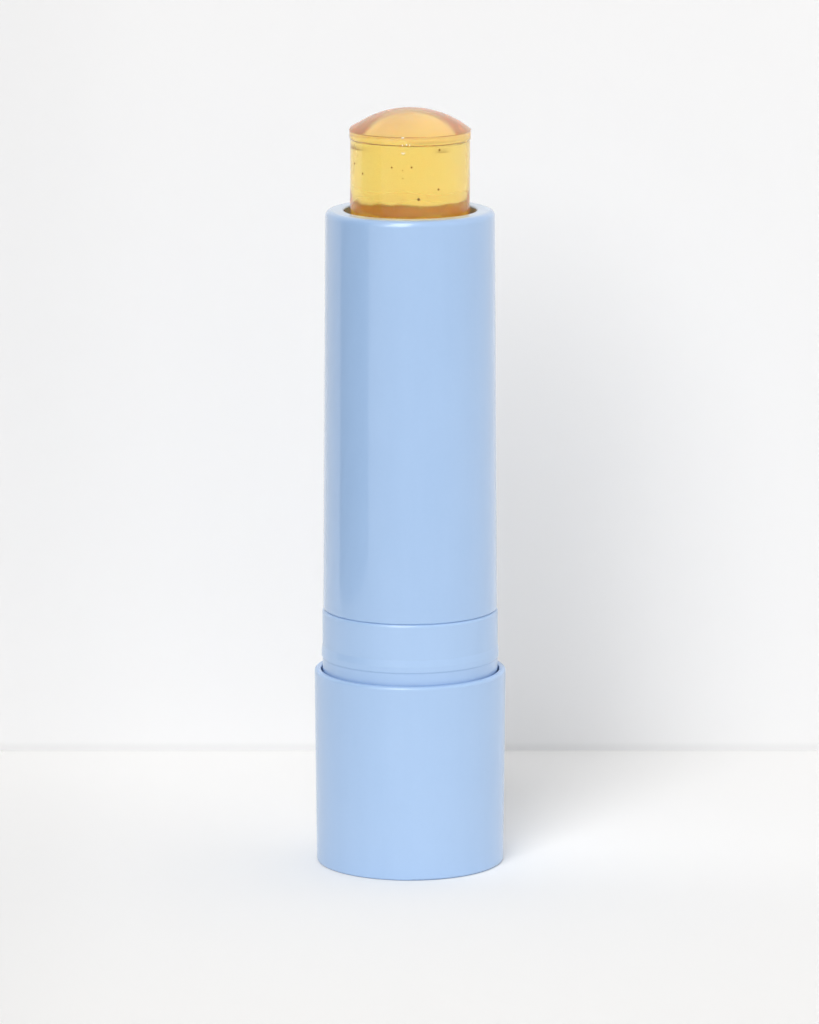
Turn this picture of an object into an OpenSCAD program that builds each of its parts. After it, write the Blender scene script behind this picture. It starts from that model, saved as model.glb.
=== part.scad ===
// Twist-up lip balm with its cap off. Millimetres, +Z up, origin at the centre of the base's foot.
// The base carries a slotted guide tube. The barrel, collar and spiral sleeve turn round it as one.
// The cup's two lugs pass through the guide's slots into the spiral, so turning the barrel lifts the balm.

/* [Balm] */
// Diameter of the stick of balm
balm_d = 12.1; // [11:0.1:13.5]
// Length of the stick, from the cup's floor to the mould line under its tip
balm_len = 28.2; // [24:0.1:32]
// How far that mould line stands out of the barrel's mouth
balm_out = 8.2; // [2:0.1:12]
// Height of the band under the mould line
band_h = 0.95; // [0.6:0.05:1.5]
// Step from the stick out to the band, on the radius
band_step = 0.08; // [0.04:0.01:0.15]
// Overhang of the dome's sharp edge past the band
dome_lip = 0.03; // [0.02:0.01:0.06]
// Height of the domed tip above the mould line
dome_h = 2.15; // [1.2:0.05:3]
// Depth of the tip inside the mouth when the balm is parked
park_depth = 1; // [0.5:0.1:2]

/* [Cup] */
// Wall of the cup that holds the balm
cup_wall = 0.45; // [0.35:0.05:0.8]
// Depth of the cup
cup_depth = 7; // [5:0.25:10]
// Thickness of the cup's floor
cup_floor = 0.8; // [0.6:0.1:1.5]
// Height of the skirt under the cup's floor
skirt_h = 6; // [5:0.25:9]
// Running gap between the cup and the guide tube
cup_gap = 0.2; // [0.15:0.05:0.4]
// Running gap between the skirt's guide ring and the guide tube
ring_gap = 0.1; // [0.06:0.02:0.12]
// Height of the guide ring at the skirt's foot
ring_h = 0.8; // [0.5:0.1:1.2]
// Diameter of the two drive lugs
lug_d = 1.6; // [1.2:0.1:2]
// Height of the lugs above the skirt's foot
lug_up = 2.5; // [2:0.1:3.5]
// Width of the slits that let the lugs spring in
slit_w = 0.4; // [0.3:0.05:0.6]
// Height of the slits
slit_h = 4.6; // [4:0.1:4.8]
// Number of ribs that key the balm in the cup
key_count = 4; // [3:1:8]
// Height of those ribs, on the radius
key_h = 0.4; // [0.2:0.05:0.8]
// Width of those ribs
key_w = 0.6; // [0.4:0.1:1]
// How far those ribs stop below the cup's rim
key_short = 1; // [0.5:0.1:2]

/* [Guide tube] */
// Wall of the guide tube
guide_wall = 0.5; // [0.4:0.05:0.8]
// Height of the guide's foot, which stands in the base
guide_foot_h = 14.8; // [12:0.2:15.5]
// Wall of the guide's foot
guide_foot_wall = 0.8; // [0.6:0.1:1.2]
// Step from the spiral's outside to the foot's outside, on the radius
foot_step = 0.4; // [0.3:0.05:0.6]
// Thickness of the flange that carries the spiral
flange_t = 1.2; // [0.8:0.1:1.6]
// Height of the bead that keeps the spiral on the guide, on the radius
bead_h = 0.2; // [0.12:0.02:0.26]
// Width of that bead along the tube
bead_w = 0.8; // [0.6:0.1:1.2]
// Gap on each side of a lug in its slot
slot_gap = 0.1; // [0.06:0.02:0.2]
// Room past a lug at each end of its travel
end_room = 0.3; // [0.2:0.05:0.6]

/* [Spiral sleeve] */
// Wall of the spiral sleeve
spiral_wall = 0.5; // [0.45:0.05:0.8]
// Rise of the balm for one turn of the barrel
lead = 16; // [12:0.5:20]
// Running gap between the spiral and the guide tube
turn_gap = 0.1; // [0.06:0.02:0.2]
// Running gap between the spiral's foot and the flange
thrust_gap = 0.1; // [0.06:0.02:0.2]
// Gap on each side of a lug in its groove
groove_gap = 0.15; // [0.12:0.01:0.3]
// Height of the crush ribs that grip the barrel, on the radius
grip_h = 0.05; // [0.04:0.01:0.1]
// Number of crush ribs in each band
grip_count = 12; // [6:1:18]
// Width of those ribs
grip_w = 0.5; // [0.4:0.05:0.8]
// Height of each band of crush ribs
grip_band = 5; // [3:0.5:7]
// Distance of those bands from the barrel's foot and from the bead at the top
grip_end = 1; // [0.5:0.1:2]

/* [Barrel] */
// Height of the barrel from the collar to the mouth
barrel_h = 41; // [38:0.1:44]
// Wall of the barrel at its mouth
barrel_wall = 0.75; // [0.6:0.05:1.2]
// Growth of the barrel's radius from mouth to collar
barrel_draft = 0.3; // [0.1:0.05:0.5]
// Thickness of the lip turned in round the mouth
lip_t = 1; // [0.8:0.1:1.5]
// Radius of the mouth's outer edge
mouth_edge = 0.65; // [0.3:0.05:0.8]
// Radius of the mouth's inner edge
bore_edge = 0.15; // [0.08:0.01:0.3]
// Chamfer of the barrel's edge at the collar
seam_edge = 0.1; // [0.06:0.02:0.2]

/* [Collar] */
// Height of the collar that shows above the base
collar_show = 6.3; // [5:0.1:9]
// Step from the barrel out to the collar, on the radius
collar_step = 0.06; // [0.02:0.01:0.15]
// Wall of the collar
collar_wall = 0.55; // [0.45:0.05:0.6]
// Fitting gap between the collar and the barrel's spigot
press_gap = 0.03; // [0.02:0.01:0.06]
// Radius of the collar's upper edge
collar_edge = 0.35; // [0.1:0.05:0.4]
// Height of the bead that the cap snaps over, on the radius
snap_h = 0.09; // [0.05:0.01:0.15]
// Width of that bead along the collar
snap_w = 1.4; // [1.2:0.1:2.2]
// Height of the bead's lower edge above the base
snap_up = 1.2; // [0.6:0.1:1.5]

/* [Base] */
// Height of the base
base_h = 20.1; // [19:0.1:23]
// Running gap between the collar and the base's rim
rim_gap = 0.15; // [0.1:0.05:0.4]
// Wall of the base at its rim
rim_wall = 0.67; // [0.6:0.01:0.8]
// Shrink of the base's radius from rim to foot
base_draft = 0.19; // [0.05:0.01:0.3]
// Thickness of the base's floor
base_floor = 1.2; // [1:0.1:2]
// Radius of the rim's outer edge
rim_edge = 0.3; // [0.2:0.02:0.4]
// Radius of the rim's inner edge
rim_bore_edge = 0.12; // [0.06:0.02:0.2]
// Radius of the foot's edge
foot_edge = 0.2; // [0.1:0.05:0.4]
// Width of the ring that the base stands on
stand_w = 1.6; // [1:0.1:3]
// Depth of the recess inside that ring
recess = 0.3; // [0.1:0.05:0.5]
// Number of ribs that hold the guide's foot
rib_count = 12; // [6:1:16]
// Height of those ribs, on the radius
rib_h = 0.45; // [0.3:0.05:0.5]
// Width of those ribs
rib_w = 0.8; // [0.5:0.1:1.2]
// Running gap between the collar's foot and the flange
foot_gap = 0.4; // [0.3:0.05:0.8]

/* [Hidden] */

// Radii, from the balm outwards
balm_r = balm_d / 2;
band_r = balm_r + band_step;
dome_edge_r = band_r + dome_lip;
dome_r = (dome_edge_r * dome_edge_r + dome_h * dome_h) / (2 * dome_h);
cup_r = balm_r + cup_wall;
bore_r = cup_r + cup_gap;
guide_r = bore_r + guide_wall;
spiral_bore_r = guide_r + turn_gap;
spiral_r = spiral_bore_r + spiral_wall;
barrel_bore_r = spiral_r + grip_h;
mouth_r = barrel_bore_r + barrel_wall;
shoulder_out_r = mouth_r + barrel_draft;
collar_r = shoulder_out_r + collar_step;
collar_bore_r = collar_r - collar_wall;
spigot_r = collar_bore_r - press_gap;
rim_bore_r = collar_r + rim_gap;
rim_r = rim_bore_r + rim_wall;
foot_r = rim_r - base_draft;
guide_foot_r = spiral_r + foot_step;
socket_r = guide_foot_r + rib_h;
flange_r = (socket_r + rim_bore_r) / 2;

// Levels, from the floor up
ledge_z = base_floor + guide_foot_h;
flange_z = ledge_z + flange_t;
spiral_z = flange_z + thrust_gap;
spigot_z = flange_z + foot_gap;
seam_z = base_h + collar_show;
mouth_z = seam_z + barrel_h;
lip_z = mouth_z - lip_t;
bead_z = lip_z - thrust_gap - bead_w;

// The balm and its cup, where the photographed balm stands
tip_z = mouth_z + balm_out;
cup_z = tip_z - balm_len;
skirt_z = cup_z - cup_floor - skirt_h;
lug_z = skirt_z + lug_up;
ring_r = bore_r - ring_gap;
lug_reach = spiral_r - turn_gap;

// Travel of the balm: its tip parks inside the mouth, and its cup rises level with the mouth
travel_down = balm_out + dome_h + park_depth;
travel_up = mouth_z - cup_z - cup_depth;

round_fn = 120;
groove_fn = 48;
proud = 0.5;

// What a round edge takes off a square corner of a profile, where side points out of the corner
module corner_cut(corner, side, radius) {
    reach = radius + proud;
    translate(corner - radius * side) difference() {
        translate([min(side[0], 0), min(side[1], 0)] * reach) square(reach);
        circle(r = radius, $fn = round_fn);
    }
}

// A turned solid, from the [radius, height] points of its profile and its round edges: corner, side, radius
module turned(profile, edges = []) {
    rotate_extrude($fn = round_fn) difference() {
        polygon(profile);
        for (edge = edges) corner_cut(edge[0], edge[1], edge[2]);
    }
}

// A plain ring between two radii
module ring(outer, inner, height) {
    linear_extrude(height) difference() {
        circle(r = outer, $fn = round_fn);
        circle(r = inner, $fn = round_fn);
    }
}

// Ribs round an axis, cut from a ring so that both of their faces stay round
module ring_ribs(outer, inner, height, width, count) {
    intersection() {
        ring(outer, inner, height);
        for (i = [0 : count - 1])
            rotate(360 * i / count) translate([0, -width / 2, -proud])
                cube([outer + proud, width, height + 2 * proud]);
    }
}

// A slot through a wall on the +Y side and the -Y side, with round ends
module slot_pair(width, low, high, reach) {
    for (side = [0, 180]) rotate(side) {
        translate([-width / 2, 0, low]) cube([width, reach, high - low]);
        for (level = [low, high]) translate([0, 0, level]) rotate([-90, 0, 0])
            cylinder(d = width, h = reach, $fn = round_fn);
    }
}

// The keys in the cup, which the poured balm takes the shape of
module keys() {
    translate([0, 0, cup_z]) ring_ribs(balm_r, balm_r - key_h, cup_depth - key_short, key_w, key_count);
}

// The stick of balm, with the band that its mould leaves under the dome: its core runs up into the dome
module stick() {
    band_z = tip_z - band_h;
    turned([
        [0, cup_z], [balm_r, cup_z], [balm_r, band_z], [band_r, band_z + band_step], [band_r, tip_z],
        [balm_r / 2, tip_z], [balm_r / 2, tip_z + dome_h / 2], [0, tip_z + dome_h / 2]
    ]);
}

// The tip: the cap of a sphere, with a sharp edge at the mould line
module dome() {
    intersection() {
        translate([0, 0, tip_z + dome_h - dome_r]) sphere(r = dome_r, $fn = round_fn);
        translate([0, 0, tip_z]) cylinder(r = dome_edge_r + proud, h = dome_h + proud, $fn = round_fn);
    }
}

module balm() {
    color([0.97, 0.78, 0.36]) difference() {
        union() {
            stick();
            dome();
        }
        keys();
    }
}

module cup() {
    color([0.93, 0.95, 0.97]) {
        difference() {
            union() {
                translate([0, 0, skirt_z])
                    cylinder(r = cup_r, h = skirt_h + cup_floor + cup_depth, $fn = round_fn);
                translate([0, 0, skirt_z]) cylinder(r = ring_r, h = ring_h, $fn = round_fn);
                for (side = [90, -90]) translate([0, 0, lug_z]) rotate([side, 0, 0])
                    cylinder(d = lug_d, h = lug_reach, $fn = round_fn);
            }
            translate([0, 0, cup_z]) cylinder(r = balm_r, h = cup_depth + proud, $fn = round_fn);
            translate([0, 0, skirt_z - proud]) cylinder(r = balm_r, h = skirt_h + proud, $fn = round_fn);
            for (side = [0, 180], edge = [-1, 1]) rotate(side)
                translate([edge * (lug_d / 2 + slit_w) - slit_w / 2, 0, skirt_z - proud])
                    cube([slit_w, guide_r, slit_h + proud]);
        }
        keys();
    }
}

module guide_tube() {
    foot_bore_r = guide_foot_r - guide_foot_wall;
    color([0.93, 0.95, 0.97]) difference() {
        turned([
            [foot_bore_r, base_floor], [guide_foot_r, base_floor], [guide_foot_r, ledge_z],
            [flange_r, ledge_z], [flange_r, flange_z], [guide_r, flange_z],
            [guide_r, bead_z], [guide_r + bead_h, bead_z], [guide_r + bead_h, bead_z + bead_w / 2],
            [guide_r, bead_z + bead_w], [bore_r, bead_z + bead_w], [bore_r, ledge_z], [foot_bore_r, ledge_z]
        ]);
        slot_pair(
            lug_d + 2 * slot_gap,
            lug_z - travel_down - end_room,
            lug_z + travel_up + end_room,
            spiral_r
        );
    }
}

// Angle of the groove past the lugs at each end of their travel
groove_past = asin((lug_d / 2 + end_room) / spiral_bore_r);
groove_from = -360 * travel_down / lead - groove_past;
groove_to = 360 * travel_up / lead + groove_past;
groove_steps = ceil((groove_to - groove_from) * groove_fn / 360);

// One right-hand groove: a slot of constant height swept up the helix that the lug follows
module groove() {
    slope = atan(lead / (2 * PI * spiral_bore_r));
    half = (lug_d / 2 + groove_gap) / cos(slope);
    section = [
        [guide_r - turn_gap, -half], [spiral_r + proud, -half],
        [spiral_r + proud, half], [guide_r - turn_gap, half]
    ];
    rings = [for (i = [0 : groove_steps])
        let (a = groove_from + (groove_to - groove_from) * i / groove_steps)
            for (p = section) [-p[0] * sin(a), p[0] * cos(a), lug_z + lead * a / 360 + p[1]]];
    walls = [for (i = [0 : groove_steps - 1], k = [0 : 3])
        let (a = 4 * i + k, b = 4 * i + (k + 1) % 4) each [[a, b + 4, a + 4], [a, b, b + 4]]];
    last = 4 * groove_steps;
    polyhedron(rings, concat(walls, [[3, 2, 1, 0]], [[last, last + 1, last + 2, last + 3]]));
}

module spiral_sleeve() {
    recess_r = guide_r + bead_h + turn_gap;
    color([0.86, 0.88, 0.9]) {
        difference() {
            turned([
                [spiral_bore_r, spiral_z], [spiral_r, spiral_z], [spiral_r, lip_z],
                [recess_r, lip_z], [recess_r, bead_z - thrust_gap], [spiral_bore_r, bead_z - thrust_gap]
            ]);
            for (side = [0, 180]) rotate(side) groove();
        }
        for (level = [spigot_z + grip_end, bead_z - grip_band - grip_end]) translate([0, 0, level])
            ring_ribs(barrel_bore_r, spiral_r - grip_h, grip_band, grip_w, grip_count);
    }
}

module barrel() {
    color([0.68, 0.79, 0.93]) turned(
        [
            [barrel_bore_r, spigot_z], [spigot_r, spigot_z], [spigot_r, seam_z],
            [shoulder_out_r - seam_edge, seam_z], [shoulder_out_r, seam_z + seam_edge],
            [mouth_r, mouth_z - mouth_edge], [mouth_r, mouth_z], [bore_r, mouth_z],
            [bore_r, lip_z], [barrel_bore_r, lip_z]
        ],
        [[[mouth_r, mouth_z], [1, 1], mouth_edge], [[bore_r, mouth_z], [-1, 1], bore_edge]]
    );
}

module collar() {
    snap_z = base_h + snap_up;
    color([0.68, 0.79, 0.93]) turned(
        [
            [collar_bore_r, spigot_z], [collar_r, spigot_z], [collar_r, snap_z],
            [collar_r + snap_h, snap_z + 2 * snap_h], [collar_r + snap_h, snap_z + snap_w / 2],
            [collar_r, snap_z + snap_w], [collar_r, seam_z], [collar_bore_r, seam_z]
        ],
        [[[collar_r, seam_z], [1, 1], collar_edge]]
    );
}

module base() {
    stand_r = foot_r - foot_edge;
    color([0.68, 0.79, 0.93]) {
        turned(
            [
                [0, recess], [stand_r - stand_w - recess, recess], [stand_r - stand_w, 0], [foot_r, 0],
                [foot_r, foot_edge], [rim_r, base_h - rim_edge], [rim_r, base_h], [rim_bore_r, base_h],
                [rim_bore_r, ledge_z], [socket_r, ledge_z], [socket_r, base_floor], [0, base_floor]
            ],
            [
                [[foot_r, 0], [1, -1], foot_edge],
                [[rim_r, base_h], [1, 1], rim_edge],
                [[rim_bore_r, base_h], [-1, 1], rim_bore_edge]
            ]
        );
        translate([0, 0, base_floor])
            ring_ribs(socket_r + rib_h / 2, guide_foot_r, guide_foot_h, rib_w, rib_count);
    }
}

balm();
cup();
guide_tube();
spiral_sleeve();
barrel();
collar();
base();
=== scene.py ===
"""Twist-up lip balm: finishes for its moulded pieces, a clear gel stick, and a soft studio round it.

Sizes are in metres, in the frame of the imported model, with +Z up and the camera on the -Y side.
"""

import logging
import math
from dataclasses import dataclass
from enum import Enum
from typing import Iterable, Sequence

import bmesh
import bpy
from mathutils import Matrix, Vector, noise

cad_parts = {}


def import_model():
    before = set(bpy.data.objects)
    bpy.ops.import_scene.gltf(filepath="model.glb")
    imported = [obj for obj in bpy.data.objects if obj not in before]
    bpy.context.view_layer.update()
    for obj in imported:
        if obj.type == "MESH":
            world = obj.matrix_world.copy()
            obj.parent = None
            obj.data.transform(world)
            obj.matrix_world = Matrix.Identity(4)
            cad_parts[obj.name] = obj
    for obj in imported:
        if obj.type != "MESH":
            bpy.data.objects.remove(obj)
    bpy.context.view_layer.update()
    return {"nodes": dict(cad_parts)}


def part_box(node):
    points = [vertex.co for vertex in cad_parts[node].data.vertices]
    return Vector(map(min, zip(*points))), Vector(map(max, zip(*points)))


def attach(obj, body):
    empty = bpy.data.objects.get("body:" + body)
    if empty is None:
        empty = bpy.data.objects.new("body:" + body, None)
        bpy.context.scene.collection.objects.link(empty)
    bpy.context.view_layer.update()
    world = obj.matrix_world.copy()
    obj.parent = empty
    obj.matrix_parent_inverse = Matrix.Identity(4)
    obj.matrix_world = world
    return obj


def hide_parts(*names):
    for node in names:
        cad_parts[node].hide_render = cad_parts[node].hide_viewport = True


LOG = logging.getLogger("lip_balm")
MM = 0.001
Colour = tuple[float, float, float]


class Body(Enum):
    """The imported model's moving bodies."""

    BASE = "base"
    BARREL = "barrel"
    CARRIER = "carrier"


class Slot(Enum):
    """The record's material slots."""

    GEL = "balm_gel"
    NATURAL = "natural_plastic"
    BLUE = "blue_plastic"


class Signal:
    """One output in a shader. Its arithmetic adds Math nodes, or Vector Math for a colour or a vector."""

    def __init__(self, graph: "Graph", socket: bpy.types.NodeSocket) -> None:
        """Keeps the socket and the graph that it belongs to."""
        self.graph = graph
        self.socket = socket

    @property
    def wide(self) -> bool:
        """Whether this is a colour or a vector."""
        return self.socket.type in ("RGBA", "VECTOR")

    def __add__(self, other: "Signal | float") -> "Signal":
        """Sum of two values."""
        return self.graph.math("ADD", self, other)

    __radd__ = __add__

    def __sub__(self, other: "Signal | float") -> "Signal":
        """Difference of two values."""
        return self.graph.math("SUBTRACT", self, other)

    def __rsub__(self, other: float) -> "Signal":
        """A number less this value."""
        return self.graph.math("SUBTRACT", other, self)

    def __mul__(self, other: "Signal | float") -> "Signal":
        """Product of two values."""
        return self.graph.math("MULTIPLY", self, other)

    __rmul__ = __mul__

    def __truediv__(self, other: "Signal | float") -> "Signal":
        """Quotient of two values."""
        return self.graph.math("DIVIDE", self, other)

    def __pow__(self, other: float) -> "Signal":
        """This value raised to a power."""
        return self.graph.math("POWER", self, other)

    def clamped(self) -> "Signal":
        """This value, kept between 0 and 1."""
        return self.graph.math("ADD", self, 0.0, clamp=True)

    def above(self, low: float, high: float) -> "Signal":
        """A smooth mask that is 0 below low and 1 above high.

        Args:
            low: Value at which the mask starts.
            high: Value at which the mask is full.

        Returns:
            The mask.
        """
        made = self.graph.node(
            "ShaderNodeMapRange",
            {"interpolation_type": "SMOOTHSTEP"},
            {"Value": self, "From Min": low, "From Max": high},
        )
        return Signal(self.graph, made.outputs["Result"])


class Graph:
    """A node tree, built from Python expressions."""

    MIX_FACTOR, MIX_A, MIX_B, MIX_OUT = 0, 6, 7, 2

    def __init__(self, tree: bpy.types.NodeTree) -> None:
        """Empties the tree and keeps it."""
        self.tree = tree
        tree.nodes.clear()

    @classmethod
    def for_material(cls, name: str) -> "tuple[bpy.types.Material, Graph]":
        """Makes a material with an empty tree.

        Args:
            name: Name of the material.

        Returns:
            The material and the graph of its tree.
        """
        made = bpy.data.materials.new(name)
        made.use_nodes = True
        return made, cls(made.node_tree)

    def node(self, kind: str, settings: dict | None = None, inputs: dict | None = None) -> bpy.types.Node:
        """Adds one node.

        Args:
            kind: Type name of the node.
            settings: Its settings, set before its sockets are filled, with a ramp's stops under "stops".
            inputs: Values or signals for its sockets, by name or number.

        Returns:
            The node.
        """
        made = self.tree.nodes.new(kind)
        for name, value in (settings or {}).items():
            if name == "stops":
                self.set_stops(made.color_ramp, value)
            else:
                setattr(made, name, value)
        for key, value in (inputs or {}).items():
            if isinstance(value, Signal):
                self.tree.links.new(value.socket, made.inputs[key])
            else:
                made.inputs[key].default_value = value
        return made

    def out(
        self, kind: str, output: str | int, settings: dict | None = None, inputs: dict | None = None
    ) -> Signal:
        """Adds one node and gives one of its outputs as a signal."""
        return Signal(self, self.node(kind, settings, inputs).outputs[output])

    @staticmethod
    def set_stops(ramp: bpy.types.ColorRamp, stops: Sequence[tuple[float, Colour]]) -> None:
        """Gives a ramp its stops, each a place from 0 to 1 and a colour."""
        for end, (place, colour) in zip(ramp.elements, (stops[0], stops[-1])):
            end.position = place
            end.color = (*colour, 1.0)
        for place, colour in stops[1:-1]:
            ramp.elements.new(place).color = (*colour, 1.0)

    def math(self, operation: str, a: Signal | float, b: Signal | float, clamp: bool = False) -> Signal:
        """Adds a Math node on two values, or a Vector Math node if one of them is a colour or a vector."""
        if any(isinstance(v, Signal) and v.wide for v in (a, b)):
            ends = {i: v if isinstance(v, Signal) else (v, v, v) for i, v in enumerate((a, b))}
            return self.out("ShaderNodeVectorMath", "Vector", {"operation": operation}, ends)
        return self.out("ShaderNodeMath", 0, {"operation": operation, "use_clamp": clamp}, {0: a, 1: b})

    def ramp(self, value: Signal, *stops: tuple[float, Colour]) -> Signal:
        """Colours a value by a ramp of stops."""
        return self.out("ShaderNodeValToRGB", "Color", {"stops": stops}, {"Fac": value})

    def mix(self, factor: Signal | float, a: Signal | Colour, b: Signal | Colour) -> Signal:
        """Blends two colours by a factor."""
        pairs = ((self.MIX_A, a), (self.MIX_B, b))
        ends = {key: end if isinstance(end, Signal) else (*end, 1.0) for key, end in pairs}
        settings = {"data_type": "RGBA"}
        return self.out("ShaderNodeMix", self.MIX_OUT, settings, {self.MIX_FACTOR: factor, **ends})

    def shader(self, kind: str, **inputs: "Signal | float | Sequence[float]") -> Signal:
        """Adds a shader, whose sockets are named with underscores, and gives its closure."""
        sockets = {name.replace("_", " "): value for name, value in inputs.items()}
        return self.out(f"ShaderNode{kind}", 0, None, sockets)

    def blend(self, factor: Signal | float, a: Signal, b: Signal) -> Signal:
        """Mixes two shaders by a factor."""
        return self.out("ShaderNodeMixShader", 0, None, {0: factor, 1: a, 2: b})

    def place(self, stretch: Colour = (1.0, 1.0, 1.0)) -> Signal:
        """Object coordinates, stretched along each axis."""
        where = self.out("ShaderNodeTexCoord", "Object")
        return self.out("ShaderNodeMapping", "Vector", None, {"Vector": where, "Scale": stretch})

    def noise(self, where: Signal, size: float, detail: float = 2.0) -> Signal:
        """Noise whose features are about size metres across."""
        sockets = {"Vector": where, "Scale": 1.0 / size, "Detail": detail}
        return self.out("ShaderNodeTexNoise", "Fac", None, sockets)

    def bump(self, height: Signal, distance: float, under: Signal | None = None) -> Signal:
        """A normal tilted by a height (0 to 1) times a distance in metres, over another normal if given."""
        below = {"Normal": under} if under else {}
        return self.out("ShaderNodeBump", "Normal", None, {"Height": height, "Distance": distance, **below})

    def surface(self, shader: Signal, volume: Signal | None = None) -> None:
        """Joins a shader, and perhaps a volume, to the tree's output."""
        inside = {"Volume": volume} if volume else {}
        self.node("ShaderNodeOutputMaterial", None, {"Surface": shader, **inside})


@dataclass(frozen=True)
class MouldedFinish:
    """An opaque moulded plastic with a faint skin, flow clouding, hairlines and a fine grain."""

    name: str
    deep: Colour
    pale: Colour
    roughness: float
    coat: float = 0.0
    coat_roughness: float = 0.05
    grain_height: float = 0.4e-6
    grain_size: float = 0.12 * MM
    skin_height: float = 1.5e-6
    skin_size: float = 1.6 * MM
    hairlines: float = 0.06
    subsurface: float = 0.0
    stain: Colour | None = None
    # Slate blue painted into the inner wall as shade.
    painted_bore_shade: Colour = (0.20, 0.25, 0.38)
    stain_top: float = 67.1 * MM
    stain_radius: float = 6.9 * MM

    def shaded_and_stained(self, graph: Graph, plain: Signal, stain: Colour) -> Signal:
        """Paints shade on the inner wall, darkening it towards slate blue, and colours its far wall where gel
        has been smeared on it, up to an uneven line.

        Args:
            graph: The material's graph.
            plain: Colour of the plastic.
            stain: Colour of the smear.

        Returns:
            The colour with the smear on it.
        """
        split = graph.node("ShaderNodeSeparateXYZ", None, {"Vector": graph.place()})
        x, y, z = (Signal(graph, split.outputs[axis]) for axis in "XYZ")
        inside = (self.stain_radius - (x * x + y * y) ** 0.5).above(0.0, 0.05 * MM)
        # Painted shade: the inner wall is darkened towards slate blue, standing in for the shade inside the
        # tube.
        plain = graph.mix(inside * 0.75, plain, self.painted_bore_shade)
        level = z + (graph.noise(graph.place(), 1.5 * MM, 2.0) - 0.5) * MM
        under = (self.stain_top - level).above(0.0, 0.08 * MM)
        return graph.mix(inside * y.above(2 * MM, 4 * MM) * under, plain, stain)

    def material(self) -> bpy.types.Material:
        """Builds the material.

        Returns:
            The material.
        """
        made, graph = Graph.for_material(self.name)
        where = graph.place()
        cloud = graph.noise(where, 14 * MM, 3.0)
        flow = graph.noise(graph.place((1.0, 1.0, 0.12)), 2.2 * MM, 3.0)
        speckle = graph.noise(where, 0.35 * MM, 2.0)
        tone = cloud * 0.55 + flow * 0.3 + speckle * 0.15
        rub = graph.noise(graph.place((1.0, 1.0, 0.015)), 0.16 * MM, 1.0).above(0.62, 0.78)
        turn = graph.noise(graph.place((0.02, 0.02, 1.0)), 0.11 * MM, 1.0).above(0.64, 0.8)
        worn = graph.noise(where, 6 * MM, 2.0).above(0.45, 0.7)
        lines = (rub + turn * 0.6).clamped() * worn
        rough = self.roughness + (speckle - 0.5) * 0.06 + (cloud - 0.5) * 0.05 + lines * self.hairlines
        grain = graph.noise(where, self.grain_size, 1.0)
        skin = graph.noise(where, self.skin_size, 2.0)
        fine = graph.bump(grain - lines * 0.5, self.grain_height)
        colour = graph.ramp(tone, (0.35, self.deep), (0.65, self.pale))
        # The inner wall's painted shade is laid on together with the gel smear.
        if self.stain:
            colour = self.shaded_and_stained(graph, colour, self.stain)
        shader = graph.shader(
            "BsdfPrincipled",
            Base_Color=colour,
            Roughness=rough,
            IOR=1.49,
            Coat_Weight=self.coat,
            Coat_Roughness=self.coat_roughness,
            Subsurface_Weight=self.subsurface,
            Subsurface_Radius=(1.0, 1.0, 1.0),
            Subsurface_Scale=0.4 * MM,
            Normal=graph.bump(skin, self.skin_height, fine),
        )
        graph.surface(shader)
        return made


@dataclass(frozen=True)
class GelFinish:
    """A hazy amber gel: glass that takes up blue light over its depth, and a soft orange painted glow, an
    emission standing in for light scattered deep inside.

    The haze is thicker in the dome and a little thicker at the mouth. The stick's "ink" attribute darkens its
    mould lines.
    """

    name: str = "amber_gel"
    ior: float = 1.45
    roughness: float = 0.003
    depth_colour: Colour = (1.0, 0.905, 0.005)
    density: float = 138.0
    haze: float = 0.16
    dome_haze: float = 0.22
    dome_foot: float = 74.3 * MM
    dome_milk: Colour = (1.0, 0.50, 0.30)
    foot_haze: float = 0.06
    foot_top: float = 69.6 * MM
    # Strength of the painted glow: orange emission standing in for light scattered deep in the gel.
    painted_glow_strength: float = 0.17
    ink: Colour = (0.18, 0.07, 0.02)
    haze_deep: Colour = (0.96, 0.43, 0.13)
    haze_pale: Colour = (1.0, 0.50, 0.19)
    glow_reach: float = 2.5 * MM

    def material(self) -> bpy.types.Material:
        """Builds the material.

        Returns:
            The material.
        """
        made, graph = Graph.for_material(self.name)
        where = graph.place()
        smear = graph.noise(graph.place((1.0, 1.0, 0.3)), 0.9 * MM, 3.0)
        film = graph.noise(where, 3.5 * MM, 2.0)
        waves = graph.bump(smear * 0.35 + film, 6e-6)
        inked = graph.out("ShaderNodeAttribute", "Fac", {"attribute_name": "ink"})
        height = graph.out("ShaderNodeSeparateXYZ", "Z", None, {"Vector": where})
        water = graph.ramp(film, (0.3, (1.0, 0.99, 0.97)), (0.7, (1.0, 1.0, 1.0)))
        dome = height.above(self.dome_foot, self.dome_foot + 1.6 * MM)
        foot = 1.0 - height.above(self.foot_top - 1.8 * MM, self.foot_top)
        milk = graph.mix(dome, graph.ramp(film, (0.3, self.haze_deep), (0.7, self.haze_pale)), self.dome_milk)
        clear = graph.shader(
            "BsdfPrincipled",
            Base_Color=graph.mix(inked, water, self.ink),
            Roughness=self.roughness + smear.above(0.5, 0.85) * 0.012,
            IOR=self.ior,
            Transmission_Weight=1.0,
            Normal=waves,
        )
        glow = graph.shader(
            "BsdfPrincipled",
            Base_Color=graph.mix(inked, milk, self.ink),
            Roughness=0.2 + smear * 0.1,
            IOR=self.ior,
            Subsurface_Weight=1.0,
            Subsurface_Radius=(1.0, 0.45, 0.2),
            Subsurface_Scale=self.glow_reach,
            # Painted glow: the gel gives off orange light though it is no lamp.
            Emission_Color=milk,
            Emission_Strength=self.painted_glow_strength,
            Normal=waves,
        )
        depth = graph.shader("VolumeAbsorption", Color=(*self.depth_colour, 1.0), Density=self.density)
        haze = self.haze + (film - 0.5) * 0.06 + dome * self.dome_haze + foot * self.foot_haze
        graph.surface(graph.blend(haze, clear, glow), depth)
        return made


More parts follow.
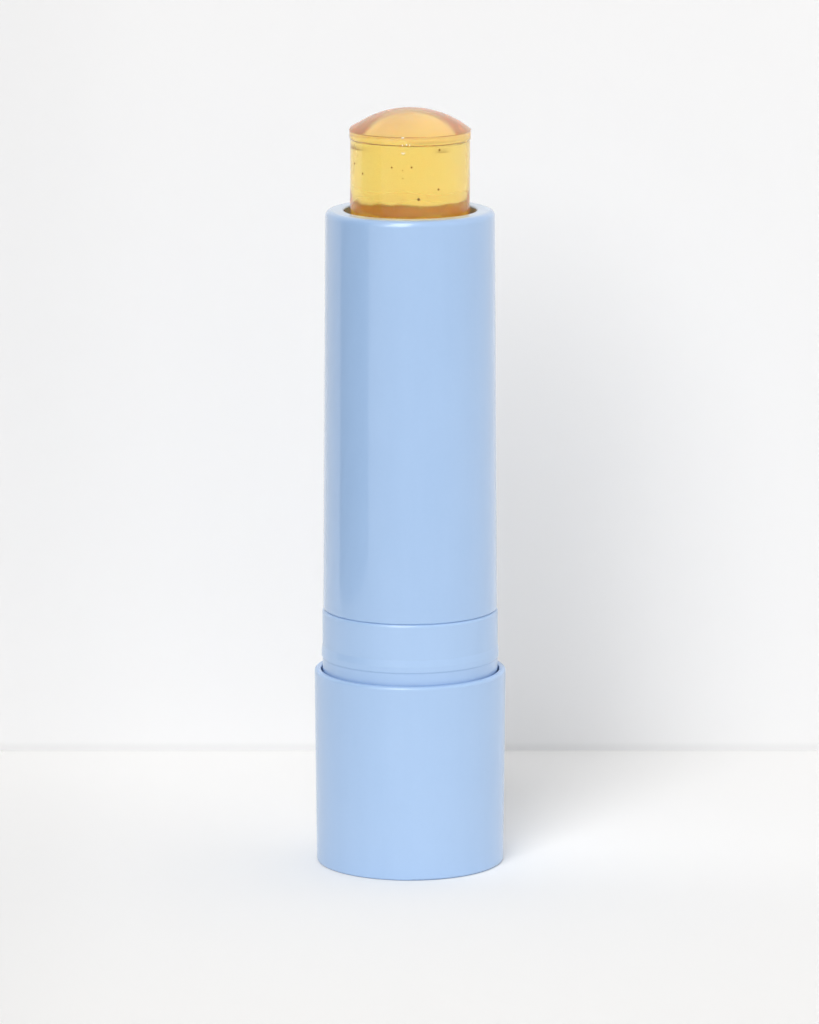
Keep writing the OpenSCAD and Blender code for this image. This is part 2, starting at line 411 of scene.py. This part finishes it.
@dataclass(frozen=True)
class BeadFinish:
    """The skin of a tiny bead: a near-white one painted as a glint, or a brown trapped speck."""

    name: str
    deep: Colour
    pale: Colour

    def material(self) -> bpy.types.Material:
        """Builds the material.

        Returns:
            The material.
        """
        made, graph = Graph.for_material(self.name)
        mottle = graph.noise(graph.place(), 0.05 * MM, 1.0)
        skin = graph.ramp(mottle, (0.3, self.deep), (0.7, self.pale))
        graph.surface(graph.shader("BsdfPrincipled", Base_Color=skin, Roughness=0.15 + mottle * 0.1))
        return made


@dataclass(frozen=True)
class BackdropFinish:
    """Matt paper that keeps the shadow and may be clear from behind.

    Its tone runs along one axis from colour to gain times colour, to even out the light that the floor and
    the wall throw on each other, and painted shade darkens it at its crease, at its far left and towards its
    right.
    """

    name: str
    colour: Colour
    axis: str = "Z"
    start: float = 0.0
    end: float = 0.08
    gain: float = 1.0
    crease: float | None = None
    crease_width: float = 1.0 * MM
    crease_shade: float = 0.95
    left_shade: float = 0.965
    left_edge: tuple[float, float] = (-44 * MM, -26 * MM)
    right_shade: float = 0.03
    right_edge: tuple[float, float] = (-25 * MM, 45 * MM)
    one_way: bool = False

    def material(self) -> bpy.types.Material:
        """Builds the material.

        Returns:
            The material.
        """
        made, graph = Graph.for_material(self.name)
        tooth = graph.noise(graph.place(), 30 * MM, 2.0)
        place = graph.node("ShaderNodeSeparateXYZ", None, {"Vector": graph.place()})
        across, along = (Signal(graph, place.outputs[axis]) for axis in ("X", self.axis))
        paler = tuple(part * self.gain for part in self.colour)
        reach = (along - self.start) / (self.end - self.start) + (tooth - 0.5) * 0.1
        # Painted shade: the paper is darker at the far left and towards the right, where the light falls off.
        left = self.left_shade + (1.0 - self.left_shade) * across.above(*self.left_edge)
        right = 1.0 - self.right_shade * across.above(*self.right_edge)
        tone = graph.ramp(reach, (0.0, self.colour), (1.0, paler)) * left * right
        # Painted shade in the crease where the wall meets the floor.
        if self.crease is not None:
            away = (along - self.crease) / self.crease_width
            tone = tone * (self.crease_shade + (1.0 - self.crease_shade) * (away * away).above(0.0, 1.0))
        shader = graph.shader(
            "BsdfPrincipled",
            Base_Color=tone,
            Roughness=0.9,
            Specular_IOR_Level=0.0,
        )
        if self.one_way:
            behind = graph.out("ShaderNodeNewGeometry", "Backfacing")
            shader = graph.blend(behind, shader, graph.shader("BsdfTransparent"))
        graph.surface(shader)
        return made


def polar(radius: float, angle: float, height: float) -> Vector:
    """A point round the axis, where the angle runs in degrees from the camera's side to the right."""
    turn = math.radians(angle)
    return Vector((radius * math.sin(turn), -radius * math.cos(turn), height))


def angle_of(point: Vector) -> float:
    """The angle of a point round the axis, as polar() has it."""
    return math.degrees(math.atan2(point.x, -point.y))


def hump(value: float, centre: float, width: float) -> float:
    """A smooth hump of height 1 at a centre, which falls to nothing at a distance of width."""
    near = max(0.0, 1.0 - abs(value - centre) / width)
    return near * near * (3.0 - 2.0 * near)


def finished(name: str, bm: bmesh.types.BMesh, material: bpy.types.Material) -> bpy.types.Object:
    """Turns a bmesh into an object of the scene.

    Args:
        name: Name of the piece.
        bm: Its mesh, which is freed.
        material: Its material.

    Returns:
        The object, at the origin.
    """
    mesh = bpy.data.meshes.new(name)
    bm.to_mesh(mesh)
    bm.free()
    mesh.materials.append(material)
    made = bpy.data.objects.new(name, mesh)
    bpy.context.scene.collection.objects.link(made)
    return made


def lathe(bm: bmesh.types.BMesh, steps: int) -> None:
    """Spins every edge of a bmesh round the Z axis and closes the seam and the poles."""
    bmesh.ops.spin(
        bm,
        geom=bm.verts[:] + bm.edges[:],
        cent=(0, 0, 0),
        axis=(0, 0, 1),
        dvec=(0, 0, 0),
        angle=math.tau,
        steps=steps,
        use_merge=True,
    )
    bmesh.ops.remove_doubles(bm, verts=bm.verts[:], dist=1e-7)
    bmesh.ops.recalc_face_normals(bm, faces=bm.faces[:])


def chain(bm: bmesh.types.BMesh, points: Iterable[Sequence[float]]) -> list[bmesh.types.BMVert]:
    """Adds a line of [radius, height] points in the XZ plane.

    Args:
        bm: The bmesh that takes them.
        points: The points, in order.

    Returns:
        Their vertices.
    """
    verts = [bm.verts.new((r, 0.0, z)) for r, z in points]
    for a, b in zip(verts, verts[1:]):
        bm.edges.new((a, b))
    return verts


@dataclass
class GelStick:
    """The moulded gel, which stands in for the CAD's stick of balm."""

    radius: float = 6.05 * MM
    band_radius: float = 6.13 * MM
    lip_radius: float = 6.16 * MM
    lip_below_tip: float = 2.22 * MM
    band_height: float = 0.93 * MM
    line_below_lip: float = 1.65 * MM
    line_depth: float = 0.025 * MM
    line_shows: tuple[tuple[float, float, float], ...] = (
        (-75.0, 42.0, 1.0),
        (32.0, 14.0, 0.6),
        (150.0, 60.0, 0.7),
    )
    cup_depth: float = 7.0 * MM
    cup_play: float = 0.012 * MM
    key_height: float = 0.42 * MM
    key_short: float = 1.0 * MM
    key_count: int = 4
    key_faces: int = 4
    wave: float = 0.006 * MM
    foot_wave: float = 0.045 * MM
    mouth_level: float = 67.4 * MM
    bead_sink: float = 0.15
    steps: int = 256
    specks: tuple[tuple[float, float, float], ...] = (
        (-17.8, 72.43, 0.2),
        (1.4, 72.47, 0.2),
        (29.2, 74.13, 0.24),
        (8.1, 69.24, 0.3),
        (28.1, 70.16, 0.22),
        (-67.1, 72.38, 0.22),
        (-51.9, 71.55, 0.22),
        (-7.1, 72.16, 0.12),
        (-7.1, 71.36, 0.12),
        (-7.1, 69.24, 0.14),
        (69.9, 69.5, 0.12),
        (112.0, 71.2, 0.12),
    )
    # Near-white beads where the key lamp's reflection would sparkle on the stick's fine edges: painted
    # glints.
    painted_glints: tuple[tuple[float, float, float], ...] = (
        (-7.4, 75.44, 0.17),
        (-6.0, 75.46, 0.13),
        (-7.1, 74.7, 0.14),
        (-3.3, 74.76, 0.16),
        (-0.4, 74.72, 0.12),
        (-7.9, 73.9, 0.15),
        (-6.6, 73.86, 0.2),
        (-5.2, 73.9, 0.13),
    )

    def profile(self, bm: bmesh.types.BMesh, foot: float, tip: float) -> None:
        """Draws the stick's profile from the middle of its foot to its tip.

        Args:
            bm: The bmesh that takes it.
            foot: Height of the stick's foot.
            tip: Height of the dome's top.
        """
        lip = tip - self.lip_below_tip
        band = lip - self.band_height
        line = lip - self.line_below_lip
        held = self.radius - self.cup_play
        rings = [line - 0.12 * MM - i * 0.2 * MM for i in range(36)][::-1]
        cup_top = foot + self.cup_depth
        points = [(0.0, foot), (held, foot), (held, cup_top - self.key_short), (held, cup_top)]
        points += [(self.radius, cup_top)]
        points += [(self.radius, cup_top + i * 1.0 * MM) for i in range(1, 12) if cup_top + i * MM < rings[0]]
        points += [(self.radius, z) for z in rings]
        points += [(self.radius, line - 0.04 * MM), (self.radius - self.line_depth, line)]
        points += [(self.radius, line + 0.04 * MM), (self.radius, band - 0.25 * MM)]
        points += [(self.radius, band - 0.03 * MM), (self.radius + 0.015 * MM, band)]
        points += [(self.band_radius - 0.015 * MM, band + 0.05 * MM), (self.band_radius, band + 0.08 * MM)]
        points += [(self.band_radius, band + 0.3 * MM), (self.band_radius, lip - 0.12 * MM)]
        points += [(self.lip_radius - 0.012 * MM, lip - 0.03 * MM), (self.lip_radius, lip)]
        verts = chain(bm, points)
        rise = tip - lip
        sphere = (self.lip_radius**2 + rise**2) / (2 * rise)
        bmesh.ops.spin(
            bm,
            geom=[verts[-1]],
            cent=(0, 0, tip - sphere),
            axis=(0, -1, 0),
            dvec=(0, 0, 0),
            angle=math.asin(self.lip_radius / sphere),
            steps=40,
        )

    def key_slots(self, bm: bmesh.types.BMesh, foot: float) -> None:
        """Sinks the slots that the cup's ribs key into."""
        top = foot + self.cup_depth - self.key_short
        pitch = 360.0 / self.key_count
        half = self.key_faces / 2 * 360.0 / self.steps
        picked = []
        for face in bm.faces:
            at = face.calc_center_median()
            off = (angle_of(at) + pitch / 2) % pitch - pitch / 2
            outer = face.normal.z < 0.5 < at.to_2d().length / self.radius
            if foot < at.z < top and abs(off) < half and outer:
                picked.append(face)
        if not picked:
            return
        sides = [f for f in picked if abs(f.normal.z) < 0.5]
        bmesh.ops.inset_region(bm, faces=sides, thickness=1e-6, depth=-self.key_height, use_even_offset=True)

    def settle(self, bm: bmesh.types.BMesh, tip: float) -> None:
        """Moves the surface as poured gel sets: soft waves, a worn shoulder and a band that isn't level.

        It also writes the "ink" attribute, which is how dark each vertex of a mould line is.
        """
        lip = tip - self.lip_below_tip
        band = lip - self.band_height
        line = lip - self.line_below_lip
        ink = bm.verts.layers.float.new("ink")
        marks = (lip - 0.03 * MM, band, band + 0.05 * MM)
        for vert in bm.verts:
            at = vert.co.copy()
            span = at.to_2d().length
            if span < self.radius * 0.5 or at.z < self.mouth_level - 3 * MM:
                continue
            angle = angle_of(at)
            out = Vector((at.x, at.y, 0.0)) / span
            side = math.sin(math.radians(angle))
            if min(abs(at.z - mark) for mark in marks) < 1e-6:
                vert[ink] = (0.85 + 0.5 * noise.noise(at * 700.0)) * (1.0 - 0.8 * hump(angle, 16.0, 18.0))
            if at.z < band + 0.2 * MM:
                wave = noise.noise(at * 420.0) * self.wave
                low = hump(at.z, self.mouth_level + 0.6 * MM, 2.0 * MM)
                wave += noise.noise(at * 900.0 + Vector((3.0, 1.0, 7.0))) * self.foot_wave * low
                vert.co += out * (wave - self.wave * 0.5)
            if abs(at.z - line) < 0.045 * MM:
                shown = max(share * hump(angle, centre, width) for centre, width, share in self.line_shows)
                if span < self.radius - self.line_depth / 2:
                    vert.co += out * self.line_depth * (1.0 - shown)
                vert[ink] = shown
            if abs(at.z - band) < 0.1 * MM:
                vert.co.z -= side * 0.05 * MM + noise.noise(at * 500.0) * 0.02 * MM
            if at.z > lip + 1e-6 and span > 5.2 * MM:
                worn = hump(angle, -88.0, 46.0) * hump(span, 5.95 * MM, 0.8 * MM)
                vert.co.z += worn * 0.14 * MM

    def build(self) -> bpy.types.Object:
        """Builds the stick.

        Returns:
            The piece.
        """
        low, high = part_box("balm")
        bm = bmesh.new()
        self.profile(bm, low.z, high.z - 0.01 * MM)
        lathe(bm, self.steps)
        self.key_slots(bm, low.z)
        self.settle(bm, high.z - 0.01 * MM)
        for face in bm.faces:
            face.smooth = True
        for edge in bm.edges:
            edge.smooth = edge.calc_face_angle(0.0) < math.radians(28)
        made = finished("gel_stick", bm, GelFinish().material())
        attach(made, Body.CARRIER.value)
        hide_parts("balm")
        return made

    def beads(
        self, name: str, places: Iterable[tuple[float, float, float]], finish: BeadFinish
    ) -> bpy.types.Object:
        """Builds tiny beads in the stick's skin.

        Args:
            name: Name of the piece.
            places: Angle in degrees, height in millimetres and width in millimetres of each bead.
            finish: Their finish.

        Returns:
            The piece.
        """
        bm = bmesh.new()
        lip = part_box("balm")[1].z - self.lip_below_tip
        for angle, height, size in places:
            reach = self.radius if height * MM < lip - self.band_height else self.lip_radius
            middle = Matrix.Translation(polar(reach - self.bead_sink * size * MM, angle, height * MM))
            bmesh.ops.create_icosphere(bm, subdivisions=2, radius=size * MM / 2, matrix=middle)
        for face in bm.faces:
            face.smooth = True
        made = finished(name, bm, finish.material())
        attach(made, Body.CARRIER.value)
        return made

    def build_specks(self) -> list[bpy.types.Object]:
        """Builds the near-white beads painted as glints and the brown specks in the stick's skin.

        Returns:
            The pieces.
        """
        # Near-white finish for the painted glints of the key lamp.
        painted_glint = BeadFinish("painted_glint_bead", (0.95, 0.9, 0.8), (1.0, 1.0, 1.0))
        brown = BeadFinish("gel_speck", (0.16, 0.07, 0.02), (0.28, 0.13, 0.03))
        return [
            self.beads("gel_painted_glints", self.painted_glints, painted_glint),
            self.beads("gel_specks", self.specks, brown),
        ]


@dataclass
class Mouldings:
    """The rigid mouldings, which keep their CAD shapes and get their finishes here."""

    barrel: MouldedFinish = MouldedFinish(
        "blue_gloss", (0.366, 0.546, 0.828), (0.390, 0.573, 0.858),
        roughness=0.34, coat=1.0, coat_roughness=0.06,
        stain=(0.52, 0.31, 0.16),
    )
    satin: MouldedFinish = MouldedFinish(
        "blue_satin", (0.392, 0.572, 0.850), (0.418, 0.600, 0.880),
        roughness=0.42, coat=0.7, coat_roughness=0.2,
        grain_height=1.2e-6, skin_height=1.0e-6,
    )
    natural: MouldedFinish = MouldedFinish(
        "undyed_satin", (0.74, 0.77, 0.79), (0.80, 0.82, 0.83),
        roughness=0.45, subsurface=0.35, hairlines=0.03,
    )

    def dress(self, nodes: dict[str, bpy.types.Object]) -> list[str]:
        """Gives each CAD node its finish.

        Args:
            nodes: The CAD nodes by name.

        Returns:
            What was dressed.
        """
        blue, satin, natural = (f.material() for f in (self.barrel, self.satin, self.natural))
        finishes = {
            "barrel": blue,
            "collar": satin,
            "base": satin,
            "cup": natural,
            "guide_tube": natural,
            "spiral_sleeve": natural,
        }
        for name, material in finishes.items():
            for place in nodes[name].material_slots:
                place.material = material
        return list(finishes)


@dataclass(frozen=True)
class Lamp:
    """A distant soft lamp, by its direction and the angle that it fills, in degrees."""

    name: str
    azimuth: float
    elevation: float
    size: float
    power: float
    colour: Colour = (1.0, 1.0, 1.0)
    mirrored: bool = True

    def hang(self) -> None:
        """Adds the lamp, where the azimuth runs from the camera's side to the right."""
        light = bpy.data.lights.new(self.name, "SUN")
        light.angle = math.radians(self.size)
        light.energy = self.power
        light.color = self.colour
        made = bpy.data.objects.new(self.name, light)
        bpy.context.scene.collection.objects.link(made)
        rise = math.radians(self.elevation)
        way = polar(math.cos(rise), self.azimuth, math.sin(rise))
        made.location = way
        made.rotation_mode = "QUATERNION"
        made.rotation_quaternion = way.to_track_quat("Z", "Y")
        made.visible_glossy = self.mirrored


@dataclass
class Studio:
    """Paper floor and wall, a dark flag at the left, four soft lamps, and the room's soft light."""

    wall_y: float = 49 * MM
    reach: float = 1.6
    wall_paper: Colour = (0.899, 0.895, 0.893)
    floor_paper: Colour = (0.992, 0.982, 0.967)
    white: Colour = (0.93, 0.93, 0.93)
    room_light: float = 0.2
    lamps: tuple[Lamp, ...] = (
        Lamp("key", -15.0, 30.0, 32.0, 1.25),
        Lamp("overhead", -15.0, 58.0, 24.0, 0.82),
        Lamp("front", 28.0, 24.0, 40.0, 0.1, mirrored=False),
        Lamp("side", 82.0, 32.0, 60.0, 0.52, mirrored=False),
    )
    flag_at: tuple[float, float, float] = (-150 * MM, -30 * MM, 120 * MM)
    flag_half: tuple[float, float] = (0.12, 0.07)
    camera_at: Vector = Vector((-0.00006, -0.6162, 0.1546))
    camera_down: float = 10.869
    camera_lens: float = 216.4

    def floor_finish(self) -> BackdropFinish:
        """The floor's paper, a little paler towards the camera."""
        return BackdropFinish(
            "floor_paper", self.floor_paper, "Y", -55 * MM, self.wall_y, gain=0.955, crease=self.wall_y
        )

    def wall_finish(self) -> BackdropFinish:
        """The wall's paper, a little paler towards its top."""
        return BackdropFinish(
            "wall_paper", self.wall_paper, "Z", 0.0, 80 * MM, gain=1.075, crease=0.0, one_way=True
        )

    def backdrop(self) -> None:
        """Builds the floor, and the wall, which can be seen from its front alone."""
        bm = bmesh.new()
        bmesh.ops.create_grid(bm, x_segments=1, y_segments=1, size=self.reach)
        bmesh.ops.translate(bm, verts=bm.verts[:], vec=(0, 0, -0.02 * MM))
        floor = finished("floor", bm, self.floor_finish().material())
        bm = bmesh.new()
        upright = Matrix.Translation((0, self.wall_y, 0.5)) @ Matrix.Rotation(math.pi / 2, 4, "X")
        spread = upright @ Matrix.Diagonal((self.reach, 0.502, 1, 1))
        bmesh.ops.create_grid(bm, x_segments=1, y_segments=1, size=1.0, matrix=spread)
        wall = finished("wall", bm, self.wall_finish().material())

    def flag(self) -> None:
        """Stands a dark flag at the left, which the camera doesn't see but the part does."""
        bm = bmesh.new()
        turn = Matrix.Translation(self.flag_at) @ Matrix.Rotation(math.pi / 2, 4, "Y")
        spread = turn @ Matrix.Diagonal((*self.flag_half, 1, 1))
        bmesh.ops.create_grid(bm, x_segments=1, y_segments=1, size=1.0, matrix=spread)
        made = finished("dark_flag", bm, BackdropFinish("flag_cloth", (0.04, 0.045, 0.055)).material())
        made.visible_camera = False
        made.visible_transmission = False
        made.visible_shadow = False

    def room(self) -> None:
        """Sets the world: white to the camera and in reflections, and a soft even light to the rest."""
        world = bpy.data.worlds.new("room")
        bpy.context.scene.world = world
        world.use_nodes = True
        graph = Graph(world.node_tree)
        soft = graph.shader("Background", Color=(0.99, 0.995, 1.0, 1.0), Strength=self.room_light)
        shown = graph.shader("Background", Color=(*self.white, 1.0), Strength=1.0)
        path = graph.node("ShaderNodeLightPath")
        kinds = ("Camera", "Glossy", "Transmission")
        rays = [Signal(graph, path.outputs[f"Is {kind} Ray"]) for kind in kinds]
        seen = (rays[0] + rays[1] + rays[2]).clamped()
        graph.node("ShaderNodeOutputWorld", None, {"Surface": graph.blend(seen, soft, shown)})

    def camera(self) -> None:
        """Adds the camera at the photograph's angle."""
        data = bpy.data.cameras.new("camera")
        data.lens = self.camera_lens
        data.sensor_width = 36.0
        data.clip_start = 0.01
        data.clip_end = 20.0
        made = bpy.data.objects.new("camera", data)
        made.location = self.camera_at
        made.rotation_euler = (math.radians(90.0 - self.camera_down), 0.0, 0.0)
        bpy.context.scene.collection.objects.link(made)
        bpy.context.scene.camera = made

    def build(self) -> None:
        """Builds the whole studio."""
        self.backdrop()
        self.flag()
        for lamp in self.lamps:
            lamp.hang()
        self.room()
        self.camera()
        bpy.context.scene.view_settings.view_transform = "Standard"


def main() -> None:
    """Loads the frame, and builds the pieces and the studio."""
    logging.basicConfig(level=logging.INFO, format="%(name)s: %(message)s")
    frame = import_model()
    Studio().build()
    LOG.info("studio built")
    LOG.info("dressed %s", ", ".join(Mouldings().dress(frame["nodes"])))
    stick = GelStick()
    for made in (stick.build(), *stick.build_specks()):
        LOG.info("%s: %d faces", made.name, len(made.data.polygons))


if __name__ == "__main__":
    main()
